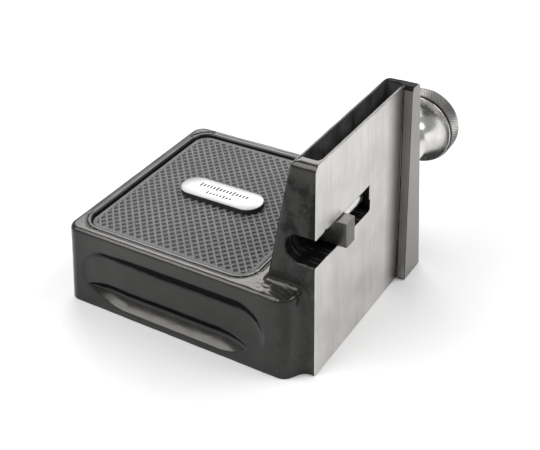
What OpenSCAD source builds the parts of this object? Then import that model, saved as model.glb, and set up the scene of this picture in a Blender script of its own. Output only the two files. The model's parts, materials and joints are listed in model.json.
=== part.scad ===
// Small bench vise: a cast base with a palm pad, an upright with a ground work face,
// a fixed jaw rail, and a sliding jaw block that a thumb knob draws along a slot.
//
// Working frame of the modules: X = 0 is the work face (+X is its outward normal), Y = 0 is the
// near end of the work face (+Y is the way the jaw closes), and Z = 0 is the bottom.
// in_frame() moves that to the object's own frame, with the origin under the middle of the object.

/* [Base] */
// Length of the base at its bottom, from its outer end to the work face
base_l = 82.5; // [78:0.5:86]
// How far the base's outer end leans in over its height
outer_lean = 4; // [0:0.5:5]
// Distance from the near end of the work face to the base's front
front_step = 5.5; // [4:0.5:7]
// Distance from the foot of the upright's far end to the base's back
back_step = 2.8; // [2:0.2:4]
// Height of the base
base_h = 27; // [26:0.5:30]
// Radius of the base's vertical corners
base_corner_r = 4; // [2:0.5:5]
// Height of the hollow in the underside
hollow_h = 18; // [14:0.5:18]
// Thickness of the wall at the outer end of the hollow
end_wall_t = 7.5; // [6:0.5:9]
// Thickness of the walls in front of and behind the hollow, which hold the finger grooves
groove_wall_t = 13; // [12:0.5:15]

/* [Finger grooves] */
// Length of each shallow finger dish
dish_l = 63.2; // [56:0.2:64]
// Height of each shallow finger dish
dish_h = 19.2; // [17:0.2:20]
// Depth of each shallow finger dish
dish_depth = 1.4; // [0.6:0.1:1.6]
// Length of the deep scoop in each dish, without its round ends
scoop_l = 48; // [40:0.5:50]
// Radius of the deep scoop
scoop_r = 4.4; // [4:0.1:4.6]

/* [Upright] */
// Height of the upright and of the work face
upright_h = 64.3; // [63:0.1:68]
// Length of the upright's foot, along the jaw travel
upright_l = 60.1; // [59:0.1:62]
// Thickness of the upright at its top
upright_top_t = 7.5; // [7.5:0.1:9]
// Thickness of the upright at the level of the base's top
upright_foot_t = 15; // [14.5:0.5:17]
// How far the near end leans in over the full height
near_lean = 2.6; // [1:0.1:4]
// How far the far end leans in over the full height
far_lean = 5.5; // [4:0.1:6]
// Thickness of the pocket's wall behind the work face
pocket_wall_t = 1; // [0.8:0.1:1.4]
// Depth of the pocket in the upright's top
pocket_depth = 16.5; // [12:0.5:16.5]
// Thickness of the pocket's wall at the upright's back
pocket_back_t = 1.5; // [1.2:0.1:1.8]
// Thickness of the pocket's wall at the near end
pocket_near_t = 3.6; // [3:0.1:5]
// Thickness of the pocket's wall at the far end
pocket_far_t = 3.2; // [2.5:0.1:4]

/* [Jaws] */
// Distance from the near end of the work face to the fixed jaw
fixed_jaw_y = 49.9; // [49:0.1:51]
// How far both jaws stand out of the work face
jaw_proud = 2.9; // [2:0.1:4]
// Thickness of the sliding jaw along its travel
jaw_t = 4.5; // [4:0.1:6]
// Place of the sliding jaw's near face, from the near end of the work face
jaw_y = 12.5; // [6:0.5:20]
// Length of the slot, from the near end of the work face
slot_l = 31.2; // [31:0.1:32]
// Height of the slot
slot_h = 8.3; // [8:0.1:8.6]
// Gap between the sliding jaw and the slot, at each side
jaw_gap = 0.35; // [0.3:0.05:0.5]

/* [Screw] */
// Height of the screw's axis
screw_z = 39.4; // [39:0.1:40.5]
// Depth of the screw's axis behind the work face
screw_x = 4.8; // [4.8:0.1:5]
// Outer radius of the draw nut
draw_nut_r = 3; // [3:0.05:3.2]
// Thread radius of the lead screw
thread_r = 1.95; // [1.8:0.05:2]
// Radius of the lead screw's journal and shank
journal_r = 2.5; // [2.4:0.05:2.6]
// Running clearance of the turning and sliding fits
running_gap = 0.05; // [0.03:0.01:0.08]

/* [Knob] */
// Radius of the knurled rim
knob_r = 11.1; // [10.5:0.1:12]
// Radius of the polished lip beside the rim
lip_r = 10; // [9:0.1:10.3]
// Radius of the knob's neck
neck_r = 4.4; // [4:0.1:5]
// Distance from the near end of the work face to the knob's outer end
knob_end_y = 77.4; // [77:0.1:79]
// Width of the knurled rim
rim_w = 4.6; // [4:0.1:5.2]

/* [Pad and plate] */
// Length of the pad
pad_l = 55.4; // [52:0.1:56]
// Width of the pad
pad_w = 58.8; // [56:0.1:60]
// Radius of the pad's corners
pad_corner_r = 4.5; // [3:0.5:6]
// Gap around the pad
pad_gap = 0.8; // [0.4:0.1:1]
// How far the pad's surface lies under the rim
pad_below_rim = 1; // [0.5:0.1:1.5]
// Length of the name plate
plate_l = 27.8; // [24:0.2:30]
// Width of the name plate
plate_w = 9.4; // [8:0.2:12]
// How far the name plate stands out of the pad
plate_proud = 1.6; // [1:0.1:2]

/* [Hidden] */
$fn = 64;

// Overshoot of cutters, the small gap left between pieces that are assembled tight,
// and the clearance of screws and other loose pieces in their holes
over = 1;
tight_gap = 0.02;
loose_gap = 0.2;

// Base
base_right_x = -6;
base_d = front_step + upright_l + back_step;
base_mid_y = upright_l / 2 + (back_step - front_step) / 2;
roof_z = hollow_h;
recess_floor_z = 22;
hollow_l = 55;
hollow_r = 5;

// Finger grooves
groove_mid_x = -43.7;
dish_mid_z = 13;
scoop_z = 7.5;
scoop_axis_in = 1.6;

// Upright
undercut_r = 0.5;
slot_r = slot_h / 2;
guide_r = draw_nut_r + running_gap;
boss_r = 6.9;
boss_face_y = 57.8;
gland_seat_y = 54.2;
gland_seat_r = 5;

// Moving jaw
jaw_r = slot_r - jaw_gap;
jaw_socket_y = 1.2;
draw_nut_l = 26;
nut_bore_r = thread_r + running_gap;
jaw_pin_r = 0.7;
jaw_pin_off = 2.85;
jaw_pin_l = 5.9;

// Screw, flange and gland
screw_tip_y = 28.2;
flange_y = 55.1;
flange_t = 2.2;
flange_r = 3.8;
washer_t = 0.7;
washer_gap = 0.1;
chamber_r = 4;
chamber_end_y = flange_y + flange_t + washer_t + 2 * washer_gap;
gland_head_r = 6.6;
gland_end_y = 64;
shank_end_y = 74;
shank_flat = 1.9;
shank_gap = 0.1;
end_screw_r = 1.5;
end_screw_l = 6.5;
tap_run_out = 0.5;

// Knob
knob_gap = 0.15;
knob_start_y = gland_end_y + knob_gap;
neck_l = 1.9;
rim_start_y = knob_end_y - rim_w;
lip_w = 0.8;
groove_w = 0.7;
groove_r = 9.3;
rim_chamfer = 0.5;
head_r = 3.4;
head_t = 1.8;
head_seat_y = 75.4;
screwdriver_slot = [0.8, 0.9];

// Pad fixings and name plate, as distances from the pad's middle
pad_mid = [-47.3, base_mid_y];
pad_top_z = base_h - pad_below_rim;
pad_screw_dx = 19;
pad_screw_dy = 15.5;
plate_off = [-0.5, 0.8];
insert_r = 2.4;
insert_h = 3.2;
pad_screw_r = 1.5;
pad_screw_head_r = 2.9;
pad_screw_head_h = 2.2;
pad_screw_l = recess_floor_z + insert_h - loose_gap - roof_z;
plate_seat = 0.8;
plate_stud_r = 1.1;
plate_stud_dx = 8;

// Middle of the whole object in the working frame
mid_x = (knob_r - screw_x - base_l) / 2;
mid_y = (knob_end_y - front_step) / 2;

// ---------------------------------------------------------------- shared shapes

module in_frame() {
    translate([-mid_x, -mid_y, 0]) children();
}

// Rectangle with rounded corners, centred
module round_rect(length, width, r) {
    square([length - 2 * r, width], center = true);
    square([length, width - 2 * r], center = true);
    for (sx = [-1, 1], sy = [-1, 1])
        translate([sx * (length / 2 - r), sy * (width / 2 - r)]) circle(r);
}

// Slot outline with two round ends, centred, long side along X
module stadium(length, width) {
    square([length - width, width], center = true);
    for (s = [-1, 1])
        translate([s * (length - width) / 2, 0]) circle(width / 2);
}

// Puts children, drawn around the Z axis, on the screw's axis with +Z along +Y
module on_screw_axis(y = 0) {
    translate([-screw_x, y, screw_z]) rotate([-90, 0, 0]) children();
}

// Ring or disc on the screw's axis between two Y positions
module ring(y0, y1, r, bore = 0) {
    on_screw_axis(y0) difference() {
        cylinder(h = y1 - y0, r = r);
        if (bore > 0) translate([0, 0, -over]) cylinder(h = y1 - y0 + 2 * over, r = bore);
    }
}

// The four places of the pad's screws
module at_pad_screws() {
    for (sx = [-1, 1], sy = [-1, 1])
        translate([pad_mid[0] + sx * pad_screw_dx, pad_mid[1] + sy * pad_screw_dy, 0]) children();
}

// ---------------------------------------------------------------- body casting

// Plan of the casting: base, upright foot, and a concave sweep from each base corner to the upright
module body_plan() {
    translate([(base_right_x - base_l) / 2, base_mid_y]) round_rect(base_l + base_right_x, base_d, base_corner_r);
    translate([-upright_foot_t, 0]) square([upright_foot_t, upright_l]);
    mirror([0, 1]) corner_sweep(front_step);
    translate([0, upright_l]) corner_sweep(back_step);
}

// Base and the sweeps beside it, with the base's outer end leaning in
module base_block() {
    intersection() {
        linear_extrude(base_h) body_plan();
        translate([0, upright_l + back_step, 0]) rotate([90, 0, 0]) linear_extrude(base_d)
            polygon([
                [-base_l, 0],
                [outer_lean - base_l, base_h],
                [0, base_h],
                [0, 0]
            ]);
    }
}

// Web that carries the base's side, r away in Y, to the upright in a concave quarter circle
module corner_sweep(r) {
    length = 2 * base_corner_r + r;
    difference() {
        translate([-length, 0]) square([length, r]);
        translate([0, r]) circle(r);
    }
}

// Upright: sloping back, upright front, both ends leaning in
module upright() {
    intersection() {
        translate([0, upright_l, 0]) rotate([90, 0, 0]) linear_extrude(upright_l)
            polygon([
                [0, 0],
                [0, upright_h],
                [-upright_top_t, upright_h],
                [-upright_foot_t, base_h],
                [-upright_foot_t, 0]
            ]);
        leaning_ends(upright_foot_t, 0);
    }
    // Fixed jaw rail: its jaw side is square to the work face
    intersection() {
        translate([-upright_top_t / 2, fixed_jaw_y, 0]) cube([upright_top_t / 2 + jaw_proud, upright_l, upright_h]);
        leaning_ends(upright_top_t, jaw_proud);
    }
    // Cast boss around the screw on the far end
    ring(fixed_jaw_y, boss_face_y, boss_r);
}

// Side view of the leaning ends, from back_t behind the work face to front_t in front of it
module leaning_ends(back_t, front_t) {
    translate([-back_t, 0, 0]) rotate([90, 0, 90]) linear_extrude(back_t + front_t)
        polygon([
            [0, 0],
            [near_lean, upright_h],
            [upright_l - far_lean, upright_h],
            [upright_l, 0]
        ]);
}

// Finger groove seen from the front: a shallow dish with a deep round-ended scoop in its lower half
module finger_groove() {
    translate([0, dish_depth, dish_mid_z]) rotate([90, 0, 0])
        linear_extrude(dish_depth + over) stadium(dish_l, dish_h);
    translate([-scoop_l / 2, scoop_axis_in, scoop_z]) rotate([0, 90, 0]) {
        cylinder(h = scoop_l, r = scoop_r);
        for (end = [0, scoop_l])
            translate([0, 0, end]) sphere(scoop_r);
    }
}

// Channel for the sliding jaw: open to the work face and to the near end
module jaw_channel() {
    translate([0, slot_l, 0]) rotate([90, 0, 0]) linear_extrude(slot_l + front_step) {
        translate([-screw_x, screw_z]) circle(slot_r);
        translate([-screw_x, screw_z - slot_r]) square([screw_x + over, slot_h]);
    }
}

module body_casting() {
    color("#1b1b1d") difference() {
        union() {
            base_block();
            upright();
        }
        translate([groove_mid_x, -front_step, 0]) finger_groove();
        translate([groove_mid_x, upright_l + back_step, 0]) mirror([0, 1, 0]) finger_groove();
        // Recess for the pad
        translate([pad_mid[0], pad_mid[1], recess_floor_z]) linear_extrude(base_h)
            round_rect(pad_l + 2 * pad_gap, pad_w + 2 * pad_gap, pad_corner_r + pad_gap);
        // Hollow underside
        translate([end_wall_t - base_l + hollow_l / 2, base_mid_y, -over]) linear_extrude(hollow_h + over)
            round_rect(hollow_l, base_d - 2 * groove_wall_t, hollow_r);
        at_pad_screws() translate([0, 0, roof_z - over])
            cylinder(h = recess_floor_z, r = pad_screw_r + loose_gap);
        // Pocket in the top of the upright
        translate([pocket_back_t - upright_top_t, near_lean + pocket_near_t, upright_h - pocket_depth])
            cube([
                upright_top_t - pocket_back_t - pocket_wall_t,
                upright_l - near_lean - pocket_near_t - pocket_far_t - far_lean,
                pocket_depth + over
            ]);
        // Undercut in the corner between the work face and the fixed jaw
        translate([0, fixed_jaw_y, -over]) cylinder(h = upright_h + 2 * over, r = undercut_r);
        jaw_channel();
        ring(slot_l - over, gland_seat_y + over, guide_r);
        ring(gland_seat_y, boss_face_y + over, gland_seat_r);
    }
}

// ---------------------------------------------------------------- pad and plate

module at_plate(z = 0) {
    translate([pad_mid[0] + plate_off[0], pad_mid[1] + plate_off[1], z]) children();
}

module plate_studs(z0, z1, r) {
    for (s = [-1, 1])
        at_plate(z0) translate([s * plate_stud_dx, 0, 0]) cylinder(h = z1 - z0, r = r);
}

module grip_pad() {
    color("#6b6b6a") difference() {
        translate([pad_mid[0], pad_mid[1], recess_floor_z])
            linear_extrude(pad_top_z - recess_floor_z) round_rect(pad_l, pad_w, pad_corner_r);
        at_pad_screws() translate([0, 0, recess_floor_z - over])
            cylinder(h = insert_h + over + tight_gap, r = insert_r + tight_gap);
        at_plate(pad_top_z - plate_seat) linear_extrude(plate_seat + over)
            stadium(plate_l + 2 * tight_gap, plate_w + 2 * tight_gap);
        plate_studs(recess_floor_z - over, pad_top_z, plate_stud_r + tight_gap);
    }
}

module pad_inserts() {
    color("#b08d4a") at_pad_screws() translate([0, 0, recess_floor_z]) difference() {
        cylinder(h = insert_h, r = insert_r);
        translate([0, 0, -over]) cylinder(h = insert_h + 2 * over, r = pad_screw_r + tight_gap);
    }
}

module pad_screws() {
    color("#a9abad") at_pad_screws() difference() {
        union() {
            translate([0, 0, roof_z - pad_screw_head_h]) cylinder(h = pad_screw_head_h, r = pad_screw_head_r);
            translate([0, 0, roof_z]) cylinder(h = pad_screw_l, r = pad_screw_r);
        }
        translate([-screwdriver_slot[0] / 2, -pad_screw_head_r - over, roof_z - pad_screw_head_h - over])
            cube([screwdriver_slot[0], 2 * (pad_screw_head_r + over), screwdriver_slot[1] + over]);
    }
}

module name_plate() {
    color("#e6e6e4") {
        at_plate(pad_top_z - plate_seat)
            linear_extrude(plate_seat + plate_proud) stadium(plate_l, plate_w);
        plate_studs(recess_floor_z, pad_top_z - plate_seat, plate_stud_r);
    }
}

// ---------------------------------------------------------------- gland and thrust washers

module gland_bush() {
    color("#cfcfcf") difference() {
        union() {
            ring(gland_seat_y, boss_face_y, gland_seat_r - tight_gap);
            ring(boss_face_y, gland_end_y, gland_head_r);
        }
        ring(gland_seat_y - over, chamber_end_y, chamber_r);
        ring(chamber_end_y - over, gland_end_y + over, journal_r + running_gap);
    }
}

module thrust_washers() {
    color("#b08d4a") {
        near_y = flange_y - washer_gap - washer_t;
        far_y = flange_y + flange_t + washer_gap;
        ring(near_y, near_y + washer_t, flange_r, thread_r + loose_gap);
        ring(far_y, far_y + washer_t, flange_r, journal_r + running_gap);
    }
}

// ---------------------------------------------------------------- turning parts

// Half-round bar that removes the flat of a D-shaped shank
module shank_flat_cut(y0, y1, clearance) {
    translate([-screw_x - journal_r - over, y0, screw_z + shank_flat + clearance])
        cube([2 * (journal_r + over), y1 - y0, journal_r + over]);
}

module lead_screw() {
    color("#9c9ea0") difference() {
        union() {
            ring(screw_tip_y, flange_y, thread_r);
            ring(flange_y, flange_y + flange_t, flange_r);
            ring(flange_y + flange_t, shank_end_y, journal_r);
        }
        shank_flat_cut(knob_start_y + neck_l, shank_end_y + over, 0);
        ring(shank_end_y - end_screw_l - tap_run_out, shank_end_y + over, end_screw_r + tight_gap);
    }
}

// Half profile of the knob around its axis: neck, trumpet flare, lip, groove and rim
module knob_profile() {
    rim_start = rim_start_y - knob_start_y;
    flare_r = rim_start - groove_w - lip_w - neck_l;
    difference() {
        square([lip_r, rim_start - groove_w]);
        // The flare is a quarter circle that starts along the neck and ends square to the axis
        translate([neck_r + flare_r, neck_l]) circle(flare_r);
        translate([neck_r, -over]) square([lip_r, neck_l + over]);
        translate([neck_r + flare_r, neck_l]) square([lip_r, flare_r]);
    }
    translate([0, rim_start - groove_w - lip_w]) square([groove_r, groove_w + lip_w]);
    translate([0, rim_start]) square([knob_r, rim_w - rim_chamfer]);
    translate([0, rim_start]) square([knob_r - rim_chamfer, rim_w]);
}

module knob() {
    color("#c9c7c4") difference() {
        on_screw_axis(knob_start_y) rotate_extrude() knob_profile();
        difference() {
            ring(knob_start_y - over, shank_end_y + shank_gap, journal_r + tight_gap);
            shank_flat_cut(knob_start_y + neck_l + shank_gap, shank_end_y + over, tight_gap);
        }
        ring(shank_end_y - over, head_seat_y + over, end_screw_r + loose_gap);
        ring(head_seat_y, knob_end_y + over, head_r + loose_gap);
    }
}

module knob_screw() {
    color("#a9abad") difference() {
        union() {
            ring(head_seat_y, head_seat_y + head_t, head_r);
            ring(shank_end_y - end_screw_l, head_seat_y, end_screw_r);
        }
        translate([-screw_x - head_r - over, head_seat_y + head_t - screwdriver_slot[1], screw_z])
            translate([0, 0, -screwdriver_slot[0] / 2])
                cube([2 * (head_r + over), screwdriver_slot[1] + over, screwdriver_slot[0]]);
    }
}

// ---------------------------------------------------------------- sliding jaw

module jaw_pin_shape(r) {
    translate([jaw_pin_off - screw_x, jaw_y + jaw_t / 2 + jaw_socket_y / 2, screw_z - jaw_r])
        cylinder(h = jaw_pin_l, r = r);
}

module jaw_block() {
    color("#8f8d8a") difference() {
        translate([0, jaw_y + jaw_t, 0]) rotate([90, 0, 0]) linear_extrude(jaw_t) {
            translate([-screw_x, screw_z]) circle(jaw_r);
            translate([-screw_x, screw_z - jaw_r]) square([screw_x + jaw_proud, 2 * jaw_r]);
        }
        ring(jaw_y + jaw_socket_y, jaw_y + jaw_t + over, draw_nut_r + tight_gap);
        translate([0, 0, -over]) jaw_pin_shape(jaw_pin_r + tight_gap);
        jaw_pin_shape(jaw_pin_r + tight_gap);
    }
}

module draw_nut() {
    color("#d2d2d0") difference() {
        ring(jaw_y + jaw_socket_y, jaw_y + jaw_socket_y + draw_nut_l, draw_nut_r, nut_bore_r);
        jaw_pin_shape(jaw_pin_r + tight_gap);
    }
}

module jaw_pin() {
    color("#8a8c8e") jaw_pin_shape(jaw_pin_r);
}

in_frame() body_casting();
in_frame() grip_pad();
in_frame() pad_inserts();
in_frame() pad_screws();
in_frame() name_plate();
in_frame() gland_bush();
in_frame() thrust_washers();
in_frame() lead_screw();
in_frame() knob();
in_frame() knob_screw();
in_frame() jaw_block();
in_frame() draw_nut();
in_frame() jaw_pin();
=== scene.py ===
# Looks of the small bench vise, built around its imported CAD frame.
#
# Shapes are made in millimetres in the work frame of the object: X = 0 is the ground work face (+X is
# its outward normal), Y = 0 is the near end of the face's foot, and Z = 0 is the bottom. build() moves
# every mesh to the CAD frame, in metres.
import json
import math

import bmesh
import bpy
import numpy as np
from mathutils import Matrix, Vector


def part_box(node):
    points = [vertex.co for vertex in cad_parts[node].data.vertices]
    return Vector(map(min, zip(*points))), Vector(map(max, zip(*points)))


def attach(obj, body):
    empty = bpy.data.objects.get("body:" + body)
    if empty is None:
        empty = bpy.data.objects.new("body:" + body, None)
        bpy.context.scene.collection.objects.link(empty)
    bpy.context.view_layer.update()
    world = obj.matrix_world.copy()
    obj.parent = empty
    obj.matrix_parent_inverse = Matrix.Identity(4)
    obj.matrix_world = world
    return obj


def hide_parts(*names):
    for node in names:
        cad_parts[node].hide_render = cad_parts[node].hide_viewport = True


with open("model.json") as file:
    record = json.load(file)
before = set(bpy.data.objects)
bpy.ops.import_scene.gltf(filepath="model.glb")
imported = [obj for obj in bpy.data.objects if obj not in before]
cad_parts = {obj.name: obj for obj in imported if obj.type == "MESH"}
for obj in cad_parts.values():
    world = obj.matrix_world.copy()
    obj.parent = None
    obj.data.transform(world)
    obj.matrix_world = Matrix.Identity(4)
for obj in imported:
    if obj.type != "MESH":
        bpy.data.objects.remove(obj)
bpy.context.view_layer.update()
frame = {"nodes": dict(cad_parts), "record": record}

# ---------------- places and sizes, from the frame

MM = 0.001
FRONT_STEP = 5.5
BACK_STEP = 2.8

mounts = {mount["name"]: mount for mount in frame["record"]["mounts"]}
ORIGIN = np.array([mounts["work_face"]["pos_m"][0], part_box("body_casting")[0].y + FRONT_STEP * MM, 0.0])


def in_work_frame(point):
    """A point of the CAD frame, in millimetres in the work frame."""
    return (np.array(point) - ORIGIN) / MM


def work_box(node):
    """Lowest and highest corner of a CAD node in the work frame."""
    return tuple(in_work_frame(corner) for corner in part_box(node))


CAST_LO, CAST_HI = work_box("body_casting")
PAD_LO, PAD_HI = work_box("grip_pad")
PLATE_LO, PLATE_HI = work_box("name_plate")
GLAND_LO, GLAND_HI = work_box("gland_bush")
SCREW_LO, SCREW_HI = work_box("lead_screw")
KNOB_LO, KNOB_HI = work_box("knob")
KNOB_SCREW_LO, KNOB_SCREW_HI = work_box("knob_screw")
JAW_LO, JAW_HI = work_box("jaw_block")
NUT_LO, NUT_HI = work_box("draw_nut")
PAD_SCREW_LO, PAD_SCREW_HI = work_box("pad_screws")
FIXED_JAW = mounts["fixed_jaw"]["pos_m"]
RAIL_Y = in_work_frame(FIXED_JAW)[1]

# Screw axis
AXIS_X = (SCREW_LO[0] + SCREW_HI[0]) / 2
AXIS_Z = (SCREW_LO[2] + SCREW_HI[2]) / 2

# Casting
BASE_TOP = 27.0
BASE_CORNER_R = 4.0
BASE_RIGHT_X = -4.6
LEFT_DRAFT = 4.0
FRONT_DRAFT = 0.5
BACK_DRAFT = 1.4
FOOT_LENGTH = CAST_HI[1] - BACK_STEP
NEAR_LEAN = 2.6
FAR_LEAN = 5.5
TOP_THICKNESS = 7.5
FOOT_THICKNESS = 15.0
BACK_SLOPE = (FOOT_THICKNESS - TOP_THICKNESS) / (CAST_HI[2] - BASE_TOP)
UPRIGHT_NEAR_TOP_R = 2.1
UPRIGHT_NEAR_BACK_R = 1.2
UPRIGHT_FAR_TOP_R = 2.0
UPRIGHT_FAR_BACK_R = 2.4
RAIL_TOP_R = 1.4
RAIL_ROOT_X = -3.0
GROUND_EDGE = 0.22
UNDERCUT_R = 0.3
RIPPLE_DEPTH = 0.05
FOLD_DEPTH = 0.09
POCKET_LO = np.array([-6.0, 6.2, 47.0])
POCKET_HI = np.array([-1.0, 51.4, 80.0])
POCKET_CORNER_R = 1.2
SLOT_END_Y = 31.2
SLOT_R = 4.15
NICK_PLACE = (0.2, 7.0, AXIS_Z + SLOT_R)
NICK_R = 0.7
GUIDE_R = 3.05
GLAND_SEAT_Y = 54.2
GLAND_SEAT_R = 5.0
BOSS_R = 6.9
BOSS_FACE_Y = GLAND_LO[1] + 3.6
HOLLOW_LO = np.array([-75.0, 7.5, -1.0])
HOLLOW_HI = np.array([-20.0, 49.9, 18.0])
HOLLOW_CORNER_R = 5.0
RECESS_FLOOR_Z = PAD_LO[2]
RECESS_CORNER_R = 5.3
RIM_LINE_OFFSET = 1.6
RIM_LINE_R = 0.3

# Pad, its screws and the name plate's seat
PAD_GAP = 0.15
PAD_CORNER_R = 4.5
PAD_BORDER = 1.5
PAD_SCREW_HEAD_R = 2.9
PAD_SCREW_HOLE_R = 1.7
PLATE_SEAT = 0.8
PLATE_R = (PLATE_HI[1] - PLATE_LO[1]) / 2
TICK_PITCH = 1.15
TICK_WIDTH = 0.54

# Checkering: how many ridges of each family cross one millimetre along X and along Y, how deep its
# pits are, and one period of its section as (share of the period, height)
CHECK_X = 0.396
CHECK_Y = 0.350
CHECK_DEPTH = 0.32
CHECK_STEPS = ((-0.06, 1), (0.06, 1), (0.13, 0.8), (0.27, 0), (0.73, 0), (0.87, 0.8))

# Knob
KNOB_R = (KNOB_HI[0] - KNOB_LO[0]) / 2
KNURL_TEETH = 84
KNURL_PITCH = 1.5
KNURL_DEPTH = 0.34

# Threads and screwdriver slots
FEED_PITCH = 0.7
SMALL_SCREW_R = 1.5
SMALL_SCREW_PITCH = 0.5
SCREWDRIVER_SLOT = (0.8, 0.9)

# Finger grooves
GROOVE_MID_X = -43.7
DISH_SIZE = (63.2, 18.8)
DISH_MID_Z = 12.4
DISH_DEPTH_TOP = 2.6
DISH_DEPTH_BOTTOM = -0.1
DISH_WALL_SLOPE = 0.5
DISH_FILLET = 0.6
# Left of DISH_BEND_X the dish droops, and it gets shallower up to DISH_SHALLOW_X
DISH_BEND_X = -48.0
DISH_BEND_L = 24.0
DISH_DROOP = 1.0
DISH_SHALLOW_X = -70.0
# Where the scoop's left tip, straight middle and right tip are, and how high its middle line is there
SCOOP_X = (-73.9, -61.0, -27.5, -17.0)
SCOOP_Z = (8.0, 6.25, 6.25, 6.25)
# The scoop's section is what two circles share: (depth of the centre, height over the middle line, radius)
SCOOP_ROOF = (-5.95, -2.8, 9.0)
SCOOP_RAMP = (-7.16, 4.4, 11.0)


# ---------------- distance fields

def round_union(a, b, r):
    """Two fields joined, with a fillet of radius r where they meet."""
    return np.maximum(r, np.minimum(a, b)) - np.hypot(np.maximum(r - a, 0), np.maximum(r - b, 0))


def round_common(a, b, r):
    """What two fields share, with the edge between them rounded to radius r."""
    return np.minimum(-r, np.maximum(a, b)) + np.hypot(np.maximum(r + a, 0), np.maximum(r + b, 0))


def carve(body, cutter, r):
    """body without cutter, with the rim of the cut rounded to radius r."""
    return round_common(body, -cutter, r)


def rounded_rectangle(u, v, lo, hi, r):
    """Distance to a rectangle with round corners, in a plane."""
    du = np.abs(u - (lo[0] + hi[0]) / 2) - (hi[0] - lo[0]) / 2 + r
    dv = np.abs(v - (lo[1] + hi[1]) / 2) - (hi[1] - lo[1]) / 2 + r
    return np.hypot(np.maximum(du, 0), np.maximum(dv, 0)) + np.minimum(np.maximum(du, dv), 0) - r


def slab(v, lo, hi):
    """Distance to the space between two parallel planes."""
    return np.maximum(lo - v, v - hi)


def screw_cylinder(x, y, z, r, y0, y1):
    """Cylinder on the screw's axis between two Y positions."""
    return np.maximum(np.hypot(x - AXIS_X, z - AXIS_Z) - r, slab(y, y0, y1))


def ripple(x, y, z):
    """Slow unevenness of a cast and dipped surface, from -1 to 1."""
    waves = np.sin(0.31 * x + 0.17 * y + 0.9) * np.sin(0.27 * y - 0.23 * z + 0.4)
    small = np.sin(0.83 * x - 0.52 * z) * np.sin(0.71 * y + 0.64 * z + 1.7)
    return 0.6 * waves + 0.4 * small


def folds(x, y):
    """Folds of thick enamel that run along the rim, from -1 to 1."""
    return 0.6 * np.sin(4.2 * y + 1.1 * x + 0.8 * np.sin(0.9 * x)) + 0.4 * np.sin(1.5 * x - 3.4 * y + 0.7)


def in_corner(x, y, z):
    """1 where the enamel has pooled on the rim's corner beside the housing, down to 0 away from it."""
    on_rim = np.clip((z - 24) / 2, 0, 1) * np.clip((-4.5 - x) / 1.5, 0, 1)
    return np.exp(-((x + 9) / 6) ** 2 - ((y + 2) / 3) ** 2) * on_rim


# ---------------- body casting

def finger_groove(along, depth, z):
    """Dish with a boat-shaped scoop in its lower half. depth counts inwards from the wall."""
    half_size = np.array(DISH_SIZE) / 2
    over_dish = z - DISH_MID_Z + DISH_DROOP * np.clip((DISH_BEND_X - along) / DISH_BEND_L, 0, 1) ** 2
    outline = rounded_rectangle(along - GROOVE_MID_X, over_dish, -half_size, half_size, half_size[1] - 0.01)
    height = (z - DISH_MID_Z) / DISH_SIZE[1] + 0.5
    floor = DISH_DEPTH_BOTTOM + (DISH_DEPTH_TOP - DISH_DEPTH_BOTTOM) * height
    floor = floor * np.interp(along, (DISH_SHALLOW_X, DISH_BEND_X), (0.1, 1))
    wall = (depth + DISH_WALL_SLOPE * outline) / math.hypot(1, DISH_WALL_SLOPE)
    dish = round_common(wall, depth - floor, DISH_FILLET)
    left_tip, left, right, right_tip = SCOOP_X
    run_out = np.maximum((left - along) / (left - left_tip), (along - right) / (right_tip - right))
    swell = 1 - np.clip(run_out, 0, 0.99) ** 2
    over_scoop = z - np.interp(along, SCOOP_X, SCOOP_Z)
    roof, ramp = (np.hypot(depth - swell * centre, over_scoop - swell * rise) - swell * r
                  for centre, rise, r in (SCOOP_ROOF, SCOOP_RAMP))
    scoop = np.maximum(round_common(roof, ramp, 0.5 * swell), slab(along, left_tip, right_tip))
    return round_union(dish, scoop, 0.3)


def drafted(x, y, z):
    """The point of a straight-sided base that a point of the drafted base comes from."""
    height = np.clip(z / BASE_TOP, 0, 1)
    across = (y + FRONT_STEP) / (CAST_HI[1] + FRONT_STEP)
    shift = (BACK_DRAFT + FRONT_DRAFT) * across - FRONT_DRAFT
    return x * (1 - LEFT_DRAFT / CAST_LO[0] * height), y + height * shift


def base_field(x, y, z):
    """Block under the palm, with a finger groove in its front and its back."""
    sx, sy = drafted(x, y, z)
    plan = rounded_rectangle(sx, sy, CAST_LO[:2], (BASE_RIGHT_X, CAST_HI[1]), BASE_CORNER_R)
    block = round_common(plan, z - BASE_TOP, 1.3)
    block = carve(block, finger_groove(x, sy + FRONT_STEP, z), 0.3)
    return carve(block, finger_groove(x, CAST_HI[1] - sy, z), 0.3)


def upright_field(x, y, z):
    """Two fields: the housing with the boss round the screw, and the rail of the fixed jaw."""
    top = CAST_HI[2]
    near = (NEAR_LEAN * z / top - y) / math.hypot(1, NEAR_LEAN / top)
    far = (y - FOOT_LENGTH + FAR_LEAN * z / top) / math.hypot(1, FAR_LEAN / top)
    back = (-x - TOP_THICKNESS - (top - z) * BACK_SLOPE) / math.hypot(1, BACK_SLOPE)
    far_top = round_common(far, z - top, UPRIGHT_FAR_TOP_R)
    near_top = round_common(near, z - top, UPRIGHT_NEAR_TOP_R)
    far_half = round_common(far_top, back, UPRIGHT_FAR_BACK_R)
    near_half = round_common(near_top, back, UPRIGHT_NEAR_BACK_R)
    boss_side = np.hypot(x - AXIS_X, z - AXIS_Z) - BOSS_R
    boss = round_common(boss_side, slab(y, RAIL_Y, BOSS_FACE_Y), 0.4)
    housing = round_union(round_common(far_half, near_half, 0.5), boss, 1.0)
    rail = round_common(far_top, slab(x, RAIL_ROOT_X, CAST_HI[0]), GROUND_EDGE)
    rail_end = round_common(RAIL_Y - y, z - top, RAIL_TOP_R)
    return housing, round_common(rail, rail_end, GROUND_EDGE)


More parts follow.
